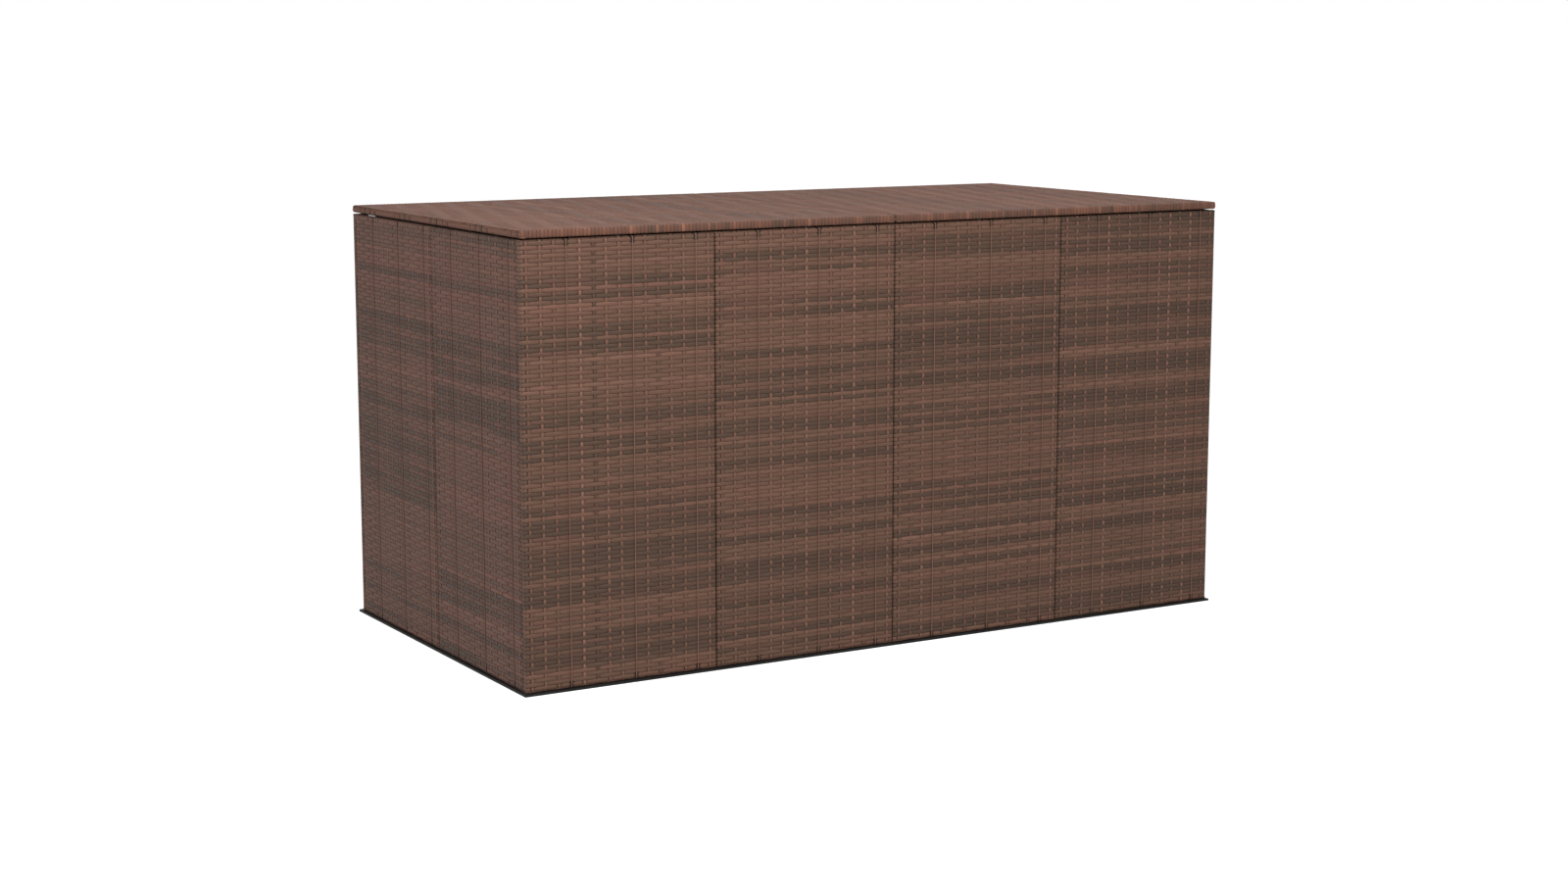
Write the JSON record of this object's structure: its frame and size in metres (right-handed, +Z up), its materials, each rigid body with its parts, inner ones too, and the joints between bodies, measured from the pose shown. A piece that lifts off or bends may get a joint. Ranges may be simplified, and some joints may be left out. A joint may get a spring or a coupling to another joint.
{
  "type": "deck storage box",
  "caption": "Large lidded garden storage box of woven brown rattan-look panels on tube frames, with a thin black steel base, a flush rear-hinged lid on gas struts and a hanging fabric liner.",
  "frame": {"origin": "bottom centre of the steel base, on the ground", "axes": "+X along the length, -Y out of the front, +Z up through the lid"},
  "size_m": [1.94, 1, 1.03],
  "materials": {
    "wall_weave": "woven polyethylene rattan strip, mid brown with dark and reddish strips, satin",
    "lid_weave": "woven polyethylene rattan strip, lighter brown as it faces the sky, satin",
    "frame_tube": "powder-coated square steel tube, dark brown-black, fine texture",
    "base_steel": "powder-coated flat steel, black, satin",
    "hinge_steel": "zinc-plated pressed steel, dull bright",
    "fastener_steel": "zinc-plated steel, bright",
    "bracket_steel": "zinc-plated pressed steel",
    "strut_cylinder": "black baked enamel on drawn steel tube, semi-gloss",
    "strut_rod": "hard-chromed ground steel rod",
    "liner_fabric": "woven polyester, coated inside, dark grey, matt with a slight sheen",
    "strap_webbing": "woven polypropylene webbing, black",
    "rod_steel": "powder-coated steel rod, dark brown-black",
    "stop_rubber": "moulded rubber, black, matt"
  },
  "bodies": {
    "root": {"back_panel_frame_1": "frame_tube", "back_panel_frame_2": "frame_tube", "back_panel_frame_3": "frame_tube", "back_panel_frame_4": "frame_tube", "back_weave_1": "wall_weave", "back_weave_2": "wall_weave", "back_weave_3": "wall_weave", "back_weave_4": "wall_weave", "base_bolts": "fastener_steel", "base_rail_back": "base_steel", "base_rail_front": "base_steel", "base_rail_left": "base_steel", "base_rail_right": "base_steel", "body_screws": "fastener_steel", "floor_slats": "base_steel", "front_panel_frame_1": "frame_tube", "front_panel_frame_2": "frame_tube", "front_panel_frame_3": "frame_tube", "front_panel_frame_4": "frame_tube", "front_weave_1": "wall_weave", "front_weave_2": "wall_weave", "front_weave_3": "wall_weave", "front_weave_4": "wall_weave", "hinge_1_body_leaf": "hinge_steel", "hinge_2_body_leaf": "hinge_steel", "hinge_3_body_leaf": "hinge_steel", "hinge_4_body_leaf": "hinge_steel", "hinge_pins": "hinge_steel", "left_panel_frame_1": "frame_tube", "left_panel_frame_2": "frame_tube", "left_weave_1": "wall_weave", "left_weave_2": "wall_weave", "lid_stops": "stop_rubber", "liner": "liner_fabric", "liner_rods": "rod_steel", "liner_straps": "strap_webbing", "panel_bolts": "fastener_steel", "right_panel_frame_1": "frame_tube", "right_panel_frame_2": "frame_tube", "right_weave_1": "wall_weave", "right_weave_2": "wall_weave", "strut_left_body_bracket": "bracket_steel", "strut_right_body_bracket": "bracket_steel"},
    "lid": {"hinge_1_lid_leaf": "hinge_steel", "hinge_2_lid_leaf": "hinge_steel", "hinge_3_lid_leaf": "hinge_steel", "hinge_4_lid_leaf": "hinge_steel", "lid_bolts": "fastener_steel", "lid_frame_left": "frame_tube", "lid_frame_right": "frame_tube", "lid_screws": "fastener_steel", "lid_weave_left": "lid_weave", "lid_weave_right": "lid_weave", "strut_left_lid_bracket": "bracket_steel", "strut_right_lid_bracket": "bracket_steel"},
    "left_cylinder": {"strut_left_cylinder": "strut_cylinder"},
    "left_rod": {"strut_left_rod": "strut_rod"},
    "right_cylinder": {"strut_right_cylinder": "strut_cylinder"},
    "right_rod": {"strut_right_rod": "strut_rod"}
  },
  "joints": [
    {"name": "lid_hinge", "type": "hinge", "parent": "root", "child": "lid", "pos_m": [0, 0.4943, 1.01075], "axis": [-1, 0, 0], "range_deg": [0, 75]},
    {"name": "left_strut_pivot", "type": "hinge", "parent": "root", "child": "left_cylinder", "pos_m": [-0.926, 0.4626, 0.79175], "axis": [-1, 0, 0], "range_deg": [0, 23.02]},
    {"name": "left_strut_extend", "type": "slide", "parent": "left_cylinder", "child": "left_rod", "axis": [0, -0.4341, 0.9009], "range_m": [0, 0.11474]},
    {"name": "right_strut_pivot", "type": "hinge", "parent": "root", "child": "right_cylinder", "pos_m": [0.926, 0.4626, 0.79175], "axis": [-1, 0, 0], "range_deg": [0, 23.02]},
    {"name": "right_strut_extend", "type": "slide", "parent": "right_cylinder", "child": "right_rod", "axis": [0, -0.4341, 0.9009], "range_m": [0, 0.11474]}
  ],
  "couplings": [
    {"joint": "left_strut_pivot", "follows": "lid_hinge", "ratio": 0.30621},
    {"joint": "left_strut_extend", "follows": "lid_hinge", "m_per_rad": 0.087575},
    {"joint": "right_strut_pivot", "follows": "lid_hinge", "ratio": 0.30621},
    {"joint": "right_strut_extend", "follows": "lid_hinge", "m_per_rad": 0.087575}
  ]
}
